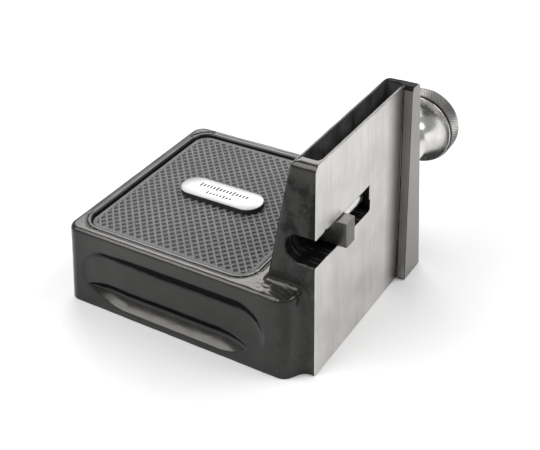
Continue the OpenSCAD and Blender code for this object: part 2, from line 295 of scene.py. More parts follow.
def carve_upright(body, x, y, z):
    """Cuts the pocket, the jaw channel, the screw's bores, the undercut and a nick out of the housing."""
    pocket = rounded_rectangle(x, y, POCKET_LO[:2], POCKET_HI[:2], POCKET_CORNER_R)
    pocket = round_common(pocket, POCKET_LO[2] - z, 1.0)
    body = carve(body, pocket, 0.42)
    channel = np.hypot(np.minimum(x - AXIS_X, 0), z - AXIS_Z) - SLOT_R
    body = carve(body, np.maximum(channel, y - SLOT_END_Y), GROUND_EDGE)
    body = carve(body, screw_cylinder(x, y, z, GUIDE_R, SLOT_END_Y - 1, GLAND_SEAT_Y + 1), 0.1)
    body = carve(body, screw_cylinder(x, y, z, GLAND_SEAT_R, GLAND_SEAT_Y, CAST_HI[1]), 0.15)
    body = carve(body, np.hypot(x, y - RAIL_Y) - UNDERCUT_R, 0.08)
    nick_x, nick_y, nick_z = NICK_PLACE
    nick = np.sqrt((x - nick_x) ** 2 + (y - nick_y) ** 2 + (z - nick_z) ** 2) - NICK_R
    return carve(body, nick, 0.1)


def pad_screw_places():
    """Centres of the four pad screws."""
    lo, hi = PAD_SCREW_LO + PAD_SCREW_HEAD_R, PAD_SCREW_HI - PAD_SCREW_HEAD_R
    for hole_x in (lo[0], hi[0]):
        for hole_y in (lo[1], hi[1]):
            yield hole_x, hole_y


def carve_base(body, x, y, z):
    """Cuts the pad's recess, the line round its rim, the screw holes and the hollow underside."""
    lo, hi = PAD_LO[:2] - PAD_GAP, PAD_HI[:2] + PAD_GAP
    outline = rounded_rectangle(x, y, lo, hi, RECESS_CORNER_R)
    body = carve(body, round_common(outline, RECESS_FLOOR_Z - z, 0.5), 0.5)
    body = carve(body, np.hypot(outline - RIM_LINE_OFFSET, z - BASE_TOP) - RIM_LINE_R, 0.2)
    hollow = rounded_rectangle(x, y, HOLLOW_LO[:2], HOLLOW_HI[:2], HOLLOW_CORNER_R)
    body = carve(body, round_common(hollow, z - HOLLOW_HI[2], 2.0), 0.8)
    for hole_x, hole_y in pad_screw_places():
        hole = np.hypot(x - hole_x, y - hole_y) - PAD_SCREW_HOLE_R
        body = carve(body, np.maximum(hole, slab(z, HOLLOW_HI[2] - 2, RECESS_FLOOR_Z + 2)), 0.1)
    return body


def casting_field(x, y, z):
    """The whole casting. The fillet beside the housing is larger below the rim and past its near end."""
    housing, rail = upright_field(x, y, z)
    past_end = np.clip((0.5 - y) / 2, 0, 1) * np.clip((z - 20) / 5, 0, 1)
    fillet = np.interp(z, (20, BASE_TOP), (3.6, 1.8)) + 1.4 * past_end
    body = round_union(base_field(x, y, z), housing, fillet)
    # Only the enamelled surfaces are uneven, and the unevenness stays inside the true size
    enamelled = np.clip((-0.8 - x) / 1.5, 0, 1)
    uneven = RIPPLE_DEPTH * (1 + ripple(x, y, z)) + FOLD_DEPTH * (1 + folds(x, y)) * in_corner(x, y, z)
    body = body + enamelled * uneven
    body = round_common(body, x, GROUND_EDGE)
    body = np.minimum(body, rail)
    body = carve_upright(carve_base(body, x, y, z), x, y, z)
    return round_common(body, -z, 0.35)


def casting_warp(u, v, w):
    """Bends the grid's planes onto the leaning ends and the sloping back of the housing."""
    height = w / CAST_HI[2]
    above_base = np.clip((w - BASE_TOP) / (CAST_HI[2] - BASE_TOP), 0, 1)
    x = np.where(u < 0, u * (1 - (1 - TOP_THICKNESS / FOOT_THICKNESS) * above_base), u)
    lean_y = (-6, 0, 12, RAIL_Y, FOOT_LENGTH, FOOT_LENGTH + 4)
    lean = np.interp(v, lean_y, (0, NEAR_LEAN, 0, 0, -FAR_LEAN, 0))
    beside_base = np.clip((u + 20) / 4, 0, 1)
    return x, v + lean * beside_base * height, w


# Stretches of (start, end, step) along X, Y and Z, with small steps where the casting has fine detail
CASTING_GRID = (
    [(CAST_LO[0] - 0.4, -71, 0.45), (-71, -21, 1.05), (-21, -14, 0.55), (-14, -6.5, 0.6), (-6.5, -3, 0.35),
     (-3, -0.9, 0.5), (-0.9, 0.6, 0.15), (0.6, 2.4, 0.6), (2.4, 3.2, 0.16)],
    [(-6, 2.4, 0.35), (2.4, 47, 1.0), (47, 49, 0.4), (49, 51, 0.2), (51, 63.6, 0.5)],
    [(-0.4, 0.8, 0.25), (0.8, 24.6, 0.5), (24.6, 27.6, 0.3), (27.6, 34.6, 0.9), (34.6, 44.6, 0.45),
     (44.6, 61.2, 1.0), (61.2, CAST_HI[2] + 0.5, 0.25)],
)


# ---------------- meshes from fields

def grid_lines(stretches):
    """Grid coordinates along one axis, from stretches of (start, end, step) laid end to end."""
    lines = [stretches[0][0]]
    for start, end, step in stretches:
        lines.extend(np.linspace(start, end, max(1, round((end - start) / step)) + 1)[1:])
    return np.array(lines)


def part_of(array, axis, start, stop):
    """array cut to start:stop along one axis."""
    index = [slice(None)] * array.ndim
    index[axis] = slice(start, stop)
    return array[tuple(index)]


def edge_crossings(nodes, value, axis):
    """Which grid edges along one axis cross the surface, and where they cross it."""
    before, after = part_of(value, axis, None, -1), part_of(value, axis, 1, None)
    crossed = (before < 0) != (after < 0)
    share = np.where(crossed, before / np.where(crossed, before - after, 1), 0)[..., None]
    point = part_of(nodes, axis, None, -1) * (1 - share) + part_of(nodes, axis, 1, None) * share
    return crossed, point, before < 0


def cell_middles(crossings, cells):
    """The mean of each cell's crossing points, and how many it has."""
    total = np.zeros(cells + (3,))
    count = np.zeros(cells, int)
    for (s0, s1), crossed, point, _ in crossings:
        for d0 in (0, 1):
            for d1 in (0, 1):
                near, there = (part_of(part_of(array, s0, d0, cells[s0] + d0), s1, d1, cells[s1] + d1)
                               for array in (crossed, point))
                total += there * near[..., None]
                count += near
    return total[count > 0] / count[count > 0][:, None], count


def surface_net(field, stretches, warp=None):
    """Points and quads of the surface where field is 0: one point per crossed cell of the grid."""
    grid = np.meshgrid(*(grid_lines(s) for s in stretches), indexing="ij")
    nodes = np.stack(warp(*grid) if warp else grid, axis=-1)
    value = field(nodes[..., 0], nodes[..., 1], nodes[..., 2])
    cells = tuple(n - 1 for n in value.shape)
    crossings = [(sides, *edge_crossings(nodes, value, axis))
                 for axis, sides in enumerate(((1, 2), (0, 2), (0, 1)))]
    points, count = cell_middles(crossings, cells)
    number = np.cumsum(count.ravel() > 0).reshape(cells) - 1
    quads = []
    for (s0, s1), crossed, _, inside in crossings:
        where = np.argwhere(crossed)
        where = where[(where[:, s0] > 0) & (where[:, s1] > 0)]
        where = where[(where[:, s0] < cells[s0]) & (where[:, s1] < cells[s1])]
        ring = []
        for d0, d1 in ((-1, -1), (0, -1), (0, 0), (-1, 0)):
            cell = where.copy()
            cell[:, s0] += d0
            cell[:, s1] += d1
            ring.append(number[tuple(cell.T)])
        ring = np.stack(ring, axis=1)
        # The ring runs the other way round for edges along Y
        outward = inside[tuple(where.T)] != ((s0, s1) == (0, 2))
        quads.append(np.where(outward[:, None], ring, ring[:, ::-1]))
    return settle(points, field), np.concatenate(quads)


def slope_of(points, field, step=0.03):
    """Gradient of a field at points."""
    gradient = np.zeros_like(points)
    for axis in range(3):
        offset = np.zeros(3)
        offset[axis] = step
        ahead, behind = field(*(points + offset).T), field(*(points - offset).T)
        gradient[:, axis] = (ahead - behind) / (2 * step)
    return gradient


def normals_of(points, field):
    """Unit normals of a field's surface."""
    gradient = slope_of(points, field)
    return gradient / np.linalg.norm(gradient, axis=1)[:, None]


def settle(points, field, rounds=4, reach=0.3):
    """Moves points along the field's slope onto its surface, no further than reach each time."""
    for _ in range(rounds):
        gradient = slope_of(points, field)
        stride = field(*points.T) / np.maximum((gradient ** 2).sum(axis=1), 0.05)
        points = points - gradient * np.clip(stride, -reach, reach)[:, None]
    return points


def facing_shade(points, normals):
    """How strongly the enamel's painted light and shade act: reflections brightest where a surface faces
    up, colour and reflections darkest where it faces down.
    """
    level = np.interp(normals[:, 2], (-0.22, -0.03, 0.3, 0.6, 0.9), (0.01, 1, 1, 1.45, 1.8))
    # Darker and less reflective towards the left end
    return level * np.interp(points[:, 0], (-80, -64), (0.5, 1))


# ---------------- meshes from profiles and outlines

def soft_profile(corners, steps=4):
    """Points of an outline of (a, b, radius) corners, each rounded to its radius."""
    points = []
    for i, (a, b, radius) in enumerate(corners):
        here = np.array([a, b], float)
        if radius <= 0:
            points.append(here)
            continue
        before = np.array(corners[i - 1][:2]) - here
        after = np.array(corners[(i + 1) % len(corners)][:2]) - here
        before, after = before / np.linalg.norm(before), after / np.linalg.norm(after)
        half = math.acos(float(np.clip(before @ after, -1, 1))) / 2
        reach = radius / math.tan(half)
        middle = (before + after) / np.linalg.norm(before + after)
        centre = here + middle * radius / math.sin(half)
        start, end = here + before * reach - centre, here + after * reach - centre
        for t in np.linspace(0, 1, steps + 1):
            sweep = math.pi - 2 * half
            arm = (start * math.sin((1 - t) * sweep) + end * math.sin(t * sweep)) / math.sin(sweep)
            points.append(centre + arm)
    return np.array(points)


def lathe(profile, segments, closed=False, relief=None):
    """Turned piece round the screw's axis. profile holds (y, radius).

    relief(angle, y, radius) gives the radius after a pattern is cut into it.
    """
    angle = np.arange(segments) * 2 * math.pi / segments
    y = np.repeat(profile[:, :1], segments, axis=1)
    r = np.repeat(profile[:, 1:], segments, axis=1)
    turn = np.repeat(angle[None], len(profile), axis=0)
    if relief:
        r = relief(turn, y, r)
    points = np.stack([AXIS_X + r * np.cos(turn), y, AXIS_Z + r * np.sin(turn)], axis=-1).reshape(-1, 3)
    rows = len(profile) if closed else len(profile) - 1
    faces = []
    for row in range(rows):
        low, high = row * segments, (row + 1) % len(profile) * segments
        for i in range(segments):
            j = (i + 1) % segments
            faces += split_by_parity(low, high, i, j, row)
    return points, faces


def split_by_parity(low, high, i, j, row):
    """Two triangles of one lathe quad, cut so that the cuts of neighbours make diamonds."""
    a, b, c, d = low + i, low + j, high + j, high + i
    if (row + i) % 2 == 0:
        return [(a, c, b), (a, d, c)]
    return [(a, d, b), (d, c, b)]


def outline_ring(lo, hi, r, inset, arc_steps):
    """Rounded rectangle, inset by a distance, as points in the plane that run anticlockwise."""
    r = max(r - inset, 0.05)
    lo, hi = np.array(lo[:2]) + inset, np.array(hi[:2]) - inset
    (left, front), (right, back) = lo + r, hi - r
    centres = ((right, back), (left, back), (left, front), (right, front))
    ring = []
    for corner, (cx, cy) in enumerate(centres):
        for t in np.linspace(0, math.pi / 2, arc_steps + 1) + corner * math.pi / 2:
            ring.append((cx + r * math.cos(t), cy + r * math.sin(t)))
    return np.array(ring)


def loft(lo, hi, r, profile, arc_steps=8):
    """Solid with a rounded-rectangle outline. profile holds (inset, z) from its underside to its top."""
    rings = [outline_ring(lo, hi, r, inset, arc_steps) for inset, _ in profile]
    n = len(rings[0])
    points = np.concatenate([np.c_[ring, np.full(n, z)] for ring, (_, z) in zip(rings, profile)])
    faces = [tuple(range(n))[::-1], tuple(range(len(points) - n, len(points)))]
    for row in range(len(profile) - 1):
        for i in range(n):
            j = (i + 1) % n
            faces.append((row * n + i, row * n + j, (row + 1) * n + j, (row + 1) * n + i))
    return points, faces


def mesh_of(name, points, faces):
    """Blender mesh from points in the work frame."""
    mesh = bpy.data.meshes.new(name)
    mesh.from_pydata((points * MM + ORIGIN).tolist(), [], faces)
    return mesh


def add_object(name, data):
    """New object in the scene."""
    thing = bpy.data.objects.new(name, data)
    bpy.context.scene.collection.objects.link(thing)
    return thing


def build(name, points, faces, material, body, slot, sharp_angle=None, normals=None):
    """Blender object from points in the work frame. It rides on body. slot is not used."""
    mesh = mesh_of(name, points, faces)
    mesh.validate()
    mesh.shade_smooth()
    if sharp_angle is not None:
        mesh.set_sharp_from_angle(angle=math.radians(sharp_angle))
    if normals is not None:
        mesh.normals_split_custom_set_from_vertices(normals.tolist())
    piece = add_object(name, mesh)
    mesh.materials.append(material)
    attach(piece, body)
    return piece


# ---------------- materials

# Stretch of a noise that makes fine rings round the screw's axis
RINGS = (60, 3500, 60)


class Look:
    """A Principled material, with short calls that add and wire its nodes."""

    def __init__(self, name, **sockets):
        self.material = bpy.data.materials.new(name)
        self.material.use_nodes = True
        self.tree = self.material.node_tree
        self.shader = self.tree.nodes["Principled BSDF"]
        for socket, value in sockets.items():
            self.shader.inputs[socket.replace("_", " ")].default_value = value
        self.place = self.tree.nodes.new("ShaderNodeTexCoord").outputs["Object"]

    def node(self, kind, inputs=(), **settings):
        """New node. inputs pairs a socket's number or name with a value or with another node's output."""
        node = self.tree.nodes.new("ShaderNode" + kind)
        for setting, value in settings.items():
            setattr(node, setting, value)
        for socket, value in dict(inputs).items():
            if isinstance(value, bpy.types.NodeSocket):
                self.tree.links.new(value, node.inputs[socket])
            else:
                node.inputs[socket].default_value = value
        return node

    def noise(self, scale, stretch=(1, 1, 1), detail=4, roughness=0.5):
        """Noise from 0 to 1. scale is in features per metre along an axis that isn't stretched."""
        place = self.node("Mapping", {"Vector": self.place, "Scale": stretch}).outputs[0]
        inputs = {"Vector": place, "Scale": scale, "Detail": detail, "Roughness": roughness}
        return self.node("TexNoise", inputs).outputs[0]

    def spread(self, value, low, high, to_low=0.0, to_high=1.0):
        """value from low..high as to_low..to_high, clamped."""
        return self.node("MapRange", {0: value, 1: low, 2: high, 3: to_low, 4: to_high}).outputs[0]

    def times(self, a, b):
        """Product of two values."""
        return self.node("Math", {0: a, 1: b}, operation="MULTIPLY").outputs[0]

    def plus(self, a, b):
        """Sum of two values."""
        return self.node("Math", {0: a, 1: b}, operation="ADD").outputs[0]

    def coordinate(self, axis):
        """One coordinate of the surface in the CAD frame, in metres."""
        return self.node("SeparateXYZ", {0: self.place}).outputs[axis]

    def blend(self, share, low, high):
        """Colour between low and high."""
        low, high = ((*colour, 1) if isinstance(colour, tuple) else colour for colour in (low, high))
        return self.node("Mix", {"Factor": share, 6: low, 7: high}, data_type="RGBA").outputs[2]

    def set(self, socket, value):
        """Wires a node's output to a socket of the shader."""
        self.tree.links.new(value, self.shader.inputs[socket])

    def worn_lines(self, stretch):
        """Fine lines left by a tool, and a tone from 0 to 1 that mixes them with tarnish."""
        lines = self.noise(1, stretch=stretch, detail=3, roughness=0.6)
        tarnish = self.noise(260, detail=5, roughness=0.6)
        return lines, self.plus(self.times(lines, 0.5), self.times(tarnish, 0.5))

    def bumps(self, *layers):
        """Stacks bump layers of (height, depth in metres)."""
        normal = None
        for height, depth in layers:
            inputs = {"Height": height, "Distance": depth, "Strength": 1.0}
            if normal:
                inputs["Normal"] = normal
            normal = self.node("Bump", inputs).outputs[0]
        self.set("Normal", normal)


def enamel_look():
    """Black japanned iron, with runs in the enamel of the housing. Painted light and shade brighten or dim
    its reflections by which way a surface faces and on parts of the housing, and darken its colour where it
    faces down.
    """
    look = Look("black_enamel", IOR=1.45, Specular_Tint=(1, 0.97, 0.93, 1))
    mottle = look.noise(160, detail=6, roughness=0.6)
    grain = look.noise(2400, detail=3)
    x, y, z = (look.coordinate(axis) for axis in range(3))
    # Painted shade: the reflections are dimmed on the housing beside the work face below its top, in
    # mottled streaks that are also bumps in the enamel, and nearly put out on the far top
    far_end = look.spread(y, FIXED_JAW[1] - 0.003, FIXED_JAW[1])
    far_top = look.times(far_end, look.spread(z, 0.057, 0.061))
    beside_face = look.spread(x, ORIGIN[0] - 0.014, ORIGIN[0] - 0.009)
    low_end = look.spread(z, 0.024, 0.045, 0.35, 1)
    below_top = look.times(low_end, look.spread(z, 0.0585, 0.0615, 1, 0))
    cloud = look.noise(1, stretch=(260, 420, 190), detail=5, roughness=0.65)
    runs_and_shade = look.times(look.times(beside_face, below_top), look.spread(cloud, 0.42, 0.58, 0.35, 1))
    # Painted light and shade: the points' attribute darkens the colour and dims the reflections where a
    # surface faces down, and brightens the reflections where it faces up
    shade_level = look.node("Attribute", attribute_name="facing_shade").outputs["Fac"]
    gloss = look.times(look.spread(runs_and_shade, 0, 1, 0.5, 0.075), look.spread(far_top, 0, 1, 1, 0.03))
    look.set("Specular IOR Level", look.times(shade_level, gloss))
    colour = look.blend(look.spread(mottle, 0.3, 0.7), (0.008, 0.008, 0.008), (0.016, 0.0155, 0.015))
    look.set("Base Color", look.blend(shade_level, (0.005, 0.005, 0.005), colour))
    roughness = look.spread(mottle, 0.3, 0.75, 0.14, 0.24)
    look.set("Roughness", look.plus(roughness, look.spread(grain, 0.3, 0.7, 0, 0.04)))
    look.bumps((look.noise(300, detail=2), 0.00004), (runs_and_shade, 0.00012), (grain, 0.0000015))
    return look.material


def bare_look():
    """Bare iron in the pocket and the jaw channel: dull and dark, with the cutter's marks across it."""
    look = Look("bare_iron")
    marks = look.noise(1, stretch=(90, 1500, 90), detail=2)
    stain = look.noise(220, detail=5)
    tone = look.plus(look.times(marks, 0.5), look.times(stain, 0.5))
    colour = look.blend(look.spread(tone, 0.36, 0.64), (0.022, 0.020, 0.020), (0.085, 0.080, 0.078))
    look.set("Base Color", colour)
    look.set("Roughness", look.spread(stain, 0.3, 0.7, 0.5, 0.8))
    look.bumps((marks, 0.00004), (stain, 0.00005))
    return look.material


def channel_look():
    """Inside of the jaw channel, coloured near black as painted shade, with the crests of the cutter's
    marks painted lighter and more reflective as painted glints.
    """
    look = Look("channel_black")
    marks = look.noise(1, stretch=(60, 1300, 60), detail=1)
    stain = look.noise(300, detail=4)
    # Painted glints on the crests of the marks, over a near-black painted shade
    lit_crest = look.times(look.spread(marks, 0.52, 0.62), look.spread(stain, 0.4, 0.6))
    look.set("Base Color", look.blend(lit_crest, (0.004, 0.004, 0.004), (0.05, 0.048, 0.046)))
    look.set("Roughness", look.spread(stain, 0.3, 0.7, 0.35, 0.6))
    look.set("Specular IOR Level", look.spread(lit_crest, 0, 1, 0.12, 0.5))
    look.bumps((marks, 0.00008))
    return look.material


def ground_look():
    """Ground steel with an upright grain, with painted shade that darkens it towards the corner of the
    fixed jaw.
    """
    look = Look("ground_steel", Metallic=1.0)
    grain = look.noise(1, stretch=(5200, 5200, 60), detail=3, roughness=0.65)
    broad = look.noise(1, stretch=(420, 420, 22), detail=3)
    cloud = look.noise(90, detail=5)
    tone = look.plus(look.times(grain, 0.5), look.plus(look.times(broad, 0.12), look.times(cloud, 0.38)))
    colour = look.blend(look.spread(tone, 0.36, 0.64), (0.44, 0.43, 0.418), (0.70, 0.685, 0.667))
    # Painted shade towards the corner of the fixed jaw
    corner = look.spread(look.coordinate("Y"), FIXED_JAW[1] - 0.009, FIXED_JAW[1] - 0.003)
    look.set("Base Color", look.blend(look.times(corner, 0.75), colour, (0.16, 0.155, 0.15)))
    look.set("Roughness", look.spread(tone, 0.3, 0.7, 0.30, 0.46))
    look.bumps((grain, 0.000012), (cloud, 0.00002))
    return look.material


def rubber_look():
    """Grey moulded rubber, with painted shade in the pits of the checkering and a patchy tone along its
    raised lines.
    """
    look = Look("grey_rubber", IOR=1.5)
    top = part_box("grip_pad")[1].z
    raised = look.spread(look.coordinate("Z"), top - 0.00022, top - 0.00004)
    dust = look.noise(700, detail=4)
    patchiness = look.noise(75, detail=4)
    light = look.blend(look.spread(dust, 0.3, 0.7), (0.125, 0.125, 0.121), (0.20, 0.20, 0.196))
    # Painted shade: the checkering's pits are coloured dark, while the raised lines keep the rubber's grey
    lit_top = look.times(raised, look.spread(patchiness, 0.25, 0.6, 0.8, 1))
    look.set("Base Color", look.blend(lit_top, (0.027, 0.027, 0.026), light))
    look.set("Roughness", look.spread(dust, 0.3, 0.7, 0.42, 0.6))
    look.bumps((dust, 0.00003))
    return look.material


def plate_look():
    """Polished name plate, black at its sides and in its marks."""
    look = Look("plate_metal", Metallic=1.0)
    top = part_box("name_plate")[1].z
    polished = look.spread(look.coordinate("Z"), top - 0.00016, top - 0.00008)
    brush = look.noise(1, stretch=(90, 4000, 90), detail=3)
    bright = look.blend(brush, (0.46, 0.46, 0.455), (0.60, 0.60, 0.595))
    look.set("Base Color", look.blend(polished, (0.012, 0.012, 0.012), bright))
    look.set("Metallic", polished)
    look.set("Roughness", look.spread(brush, 0.3, 0.7, 0.36, 0.46))
    look.bumps((brush, 0.000004))
    return look.material


def knob_look():
    """Nickel, dull on the rim, with painted shade between the teeth of the knurl."""
    look = Look("knob_nickel", Metallic=1.0)
    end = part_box("knob")[1].y
    along = look.coordinate("Y")
    rim = look.spread(along, end - 0.0055, end - 0.0054)
    off_axis = look.node("CombineXYZ", {0: look.coordinate("X"), 2: look.coordinate("Z")}).outputs[0]
    centre = (ORIGIN[0] + AXIS_X * MM, 0, AXIS_Z * MM)
    radius = look.node("VectorMath", {0: off_axis, 1: centre}, operation="DISTANCE").outputs["Value"]
    # Painted shade between the knurl's teeth; the crests and the end face keep the metal's colour
    lit_crest = look.spread(radius, (KNOB_R - KNURL_DEPTH) * MM, (KNOB_R - 0.04) * MM)
    end_face = look.spread(along, end - 0.0003, end - 0.0002)
    lit_crest = look.node("Math", {0: lit_crest, 1: end_face}, operation="MAXIMUM").outputs[0]
    rings, tone = look.worn_lines(RINGS)
    tone = look.spread(tone, 0.35, 0.65)
    polished = look.blend(tone, (0.62, 0.61, 0.59), (0.82, 0.81, 0.79))
    dull = look.blend(tone, (0.28, 0.275, 0.265), (0.52, 0.51, 0.495))
    look.set("Base Color", look.blend(rim, polished, look.blend(lit_crest, (0.05, 0.048, 0.046), dull)))
    look.set("Roughness", look.plus(look.spread(tone, 0, 1, 0.22, 0.32), look.times(rim, 0.12)))
    look.bumps((rings, 0.000006))
    return look.material


def turned_look(name, dark, bright, roughness):
    """Turned or plated metal with fine rings round the screw's axis and a little tarnish."""
    look = Look(name, Metallic=1.0)
    rings, tone = look.worn_lines(RINGS)
    look.set("Base Color", look.blend(look.spread(tone, 0.35, 0.65), dark, bright))
    look.set("Roughness", look.spread(tone, 0.3, 0.7, roughness, roughness + 0.12))
    look.bumps((rings, 0.000006))
    return look.material


def jaw_look():
    """Steel of the moving jaw, with painted light: its top face is coloured brighter than its dull sides.
    """
    look = Look("jaw_steel", Metallic=1.0)
    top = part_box("jaw_block")[1].z
    # Painted light: the top face gets a brighter colour than the sides
    lit_top = look.spread(look.coordinate("Z"), top - 0.00025, top - 0.0001)
    lines, tone = look.worn_lines((3500, 60, 60))
    tone = look.spread(tone, 0.35, 0.65)
    sides = look.blend(tone, (0.085, 0.083, 0.079), (0.18, 0.176, 0.168))
    lit_top_face = look.blend(tone, (0.26, 0.255, 0.245), (0.40, 0.39, 0.375))
    look.set("Base Color", look.blend(lit_top, sides, lit_top_face))
    look.set("Roughness", look.spread(tone, 0, 1, 0.3, 0.42))
    look.bumps((lines, 0.000006))
    return look.material


def floor_look():
    """Pale matt floor."""
    look = Look("pale_floor", Roughness=0.9)
    speck = look.noise(30, detail=3)
    look.set("Base Color", look.blend(speck, (0.92, 0.92, 0.92), (0.95, 0.95, 0.95)))
    return look.material


ENAMEL = enamel_look()
BARE = bare_look()
CHANNEL = channel_look()
GROUND = ground_look()
JAW_STEEL = jaw_look()
RUBBER = rubber_look()
PLATE = plate_look()
KNOB_NICKEL = knob_look()
NICKEL = turned_look("nickel", (0.50, 0.49, 0.47), (0.74, 0.73, 0.71), 0.16)
BRASS = turned_look("brass", (0.50, 0.36, 0.15), (0.70, 0.54, 0.27), 0.28)
ZINC = turned_look("zinc_steel", (0.36, 0.36, 0.35), (0.58, 0.57, 0.56), 0.3)


# ---------------- pieces

def make_casting():
    """The whole casting as one net, enamelled except for its work face and rail."""
    points, faces = surface_net(casting_field, CASTING_GRID, casting_warp)
    normals = normals_of(points, casting_field)
    piece = build("casting", points, faces.tolist(), ENAMEL, "base", "black_enamel", normals=normals)
    # Painted light and shade of the enamel, kept on the points
    attribute = piece.data.attributes.new("facing_shade", "FLOAT", "POINT")
    attribute.data.foreach_set("value", facing_shade(points, normals).astype(np.float32))
    for material in (GROUND, BARE, CHANNEL):
        piece.data.materials.append(material)
    finish = casting_finish(points[faces].mean(axis=1), normals[faces].mean(axis=1))
    piece.data.polygons.foreach_set("material_index", finish.astype(np.int32))
    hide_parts("body_casting")


def casting_finish(middle, facing):
    """Material number of each face of the casting, from its middle and its normal."""
    enamel, ground, bare, channel = range(4)
    x, y, z = middle.T
    on_face = (x > -0.16) & (facing[:, 0] > 0.35)
    on_jaw = (x > -0.16) & (facing[:, 1] < -0.97) & (y > RAIL_Y - 1)
    in_pocket = ((middle > POCKET_LO - 0.1) & (middle < POCKET_HI + 0.1)).all(axis=1)
    in_pocket &= z < CAST_HI[2] - 0.5
    off_axis = np.hypot(np.minimum(x - AXIS_X, 0), z - AXIS_Z)
    in_channel = (off_axis < SLOT_R + 0.05) & (x < -0.2) & (y < SLOT_END_Y + 1)
    return np.select([in_pocket, in_channel, on_face | on_jaw], [bare, channel, ground], enamel)


def merged(shapes):
    """Several (points, faces) as one."""
    points, faces = [], []
    count = 0
    for more_points, more_faces in shapes:
        faces += [tuple(i + count for i in face) for face in more_faces]
        points.append(more_points)
        count += len(more_points)
    return np.concatenate(points), faces


def checkering(lo, hi, corner_r, floor_z, top_z):
    """Solid patch with two crossing families of ridges, cut to a rounded rectangle."""
    middle, half = (lo + hi) / 2, (hi - lo) / 2
    reach = math.ceil(half[0] * CHECK_X + half[1] * CHECK_Y) + 1
    lines = [(n + share, height) for n in range(-reach, reach) for share, height in CHECK_STEPS]
    place, height = np.array(lines).T
    a, b = np.meshgrid(place, place, indexing="ij")
    z = top_z - CHECK_DEPTH * (1 - np.maximum(*np.meshgrid(height, height, indexing="ij")))
    points = np.stack([(a + b) / (2 * CHECK_X), (a - b) / (2 * CHECK_Y), z], axis=-1).reshape(-1, 3)
    number = np.arange(len(points)).reshape(z.shape)
    corners = [number[:-1, :-1], number[:-1, 1:], number[1:, 1:], number[1:, :-1]]
    quads = np.stack(corners, axis=-1).reshape(-1, 4)
    near = (np.abs(points[:, :2]) < half + 3).all(axis=1)
    quads = quads[near[quads].all(axis=1)]
    kept, quads = np.unique(quads, return_inverse=True)
    shape = bmesh.new()
    vertices = [shape.verts.new((px + middle[0], py + middle[1], pz)) for px, py, pz in points[kept]]
    for quad in quads.reshape(-1, 4):
        shape.faces.new([vertices[i] for i in quad])
    ring = outline_ring(lo, hi, corner_r, 0, arc_steps=6)
    for here, after in zip(ring, np.roll(ring, -1, axis=0)):
        if np.hypot(*(after - here)) > 1e-6:
            cut_side(shape, here, after)
    close_below(shape, floor_z)
    shape.verts.index_update()
    points = np.array([vertex.co for vertex in shape.verts])
    faces = [tuple(vertex.index for vertex in face.verts) for face in shape.faces]
    shape.free()
    # The faces' order, and where the walls start, change from run to run, so both are fixed here
    on_floor = points[:, 2] < floor_z + 0.01
    faces = [from_lowest(face) if on_floor[list(face)].any() else face for face in faces]
    return points, sorted(faces, key=from_lowest)


def from_lowest(face):
    """The same face, started at its lowest point number."""
    start = face.index(min(face))
    return face[start:] + face[:start]


def cut_side(shape, here, after):
    """Cuts away what lies outside the line from here to after."""
    outward = Vector((after[1] - here[1], here[0] - after[0], 0)).normalized()
    parts = shape.verts[:] + shape.edges[:] + shape.faces[:]
    bmesh.ops.bisect_plane(shape, geom=parts, plane_co=(*here, 0), plane_no=outward, clear_outer=True)


def close_below(shape, floor_z):
    """Extends the open border down to floor_z and closes it there."""
    border = [edge for edge in shape.edges if edge.is_boundary]
    walls = bmesh.ops.extrude_edge_only(shape, edges=border)["geom"]
    for vertex in (g for g in walls if isinstance(g, bmesh.types.BMVert)):
        vertex.co.z = floor_z
    rim = [g for g in walls if isinstance(g, bmesh.types.BMEdge) and g.is_boundary]
    bmesh.ops.contextual_create(shape, geom=rim)
    bmesh.ops.recalc_face_normals(shape, faces=shape.faces[:])


def cut_with(piece, points, faces):
    """Takes a solid out of a finished piece."""
    cutter = add_object("cutter", mesh_of("cutter", points, faces))
    boolean = piece.modifiers.new("cut", "BOOLEAN")
    boolean.operation = "DIFFERENCE"
    boolean.solver = "EXACT"
    boolean.object = cutter
    with bpy.context.temp_override(object=piece, active_object=piece, selected_objects=[piece]):
        bpy.ops.object.modifier_apply(modifier=boolean.name)
    bpy.data.objects.remove(cutter)


def make_pad():
    """Pad with a smooth border round its checkered middle, seated round the name plate."""
    bottom, top = PAD_LO[2], PAD_HI[2]
    floor = top - CHECK_DEPTH
    profile = [
        (0.3, bottom), (0, bottom + 0.4), (0, top - 0.7), (0.08, top - 0.35), (0.3, top - 0.1), (0.6, top),
        (PAD_BORDER - 0.15, top), (PAD_BORDER, top - 0.12), (PAD_BORDER + 0.05, floor - 0.1)]
    body = loft(PAD_LO, PAD_HI, PAD_CORNER_R, profile)
    # The patch reaches under the border and stands in the body, so no gap shows between them
    inset, root = PAD_BORDER - 0.1, floor - 0.4
    patch = checkering(PAD_LO[:2] + inset, PAD_HI[:2] - inset, PAD_CORNER_R - inset, root, top)
    gap = 0.05
    depth = [(0, top - PLATE_SEAT), (0, top + 1)]
    seat = loft(PLATE_LO - gap, PLATE_HI + gap, PLATE_R + gap, depth, arc_steps=16)
    for name, shape in (("pad_body", body), ("pad_checkering", patch)):
        piece = build(name, *shape, RUBBER, "base", "grey_rubber", sharp_angle=28)
        cut_with(piece, *seat)
        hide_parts("grip_pad")


def make_plate():
    """Stadium-shaped plate with two rows of plain tick marks sunk into it."""
    under, top = PAD_HI[2] - PLATE_SEAT, PLATE_HI[2]
    profile = [(0.1, under), (0, under + 0.1), (0, top - 0.3), (0.09, top - 0.09), (0.3, top)]
    shape = loft(PLATE_LO, PLATE_HI, PLATE_R, profile, arc_steps=20)
    piece = build("plate", *shape, PLATE, "base", "plate_metal", sharp_angle=40)
    cut_with(piece, *merged([*tick_marks(15, 2.1, 1.3), *tick_marks(8, 1.5, -1.7)]))
    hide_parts("name_plate")


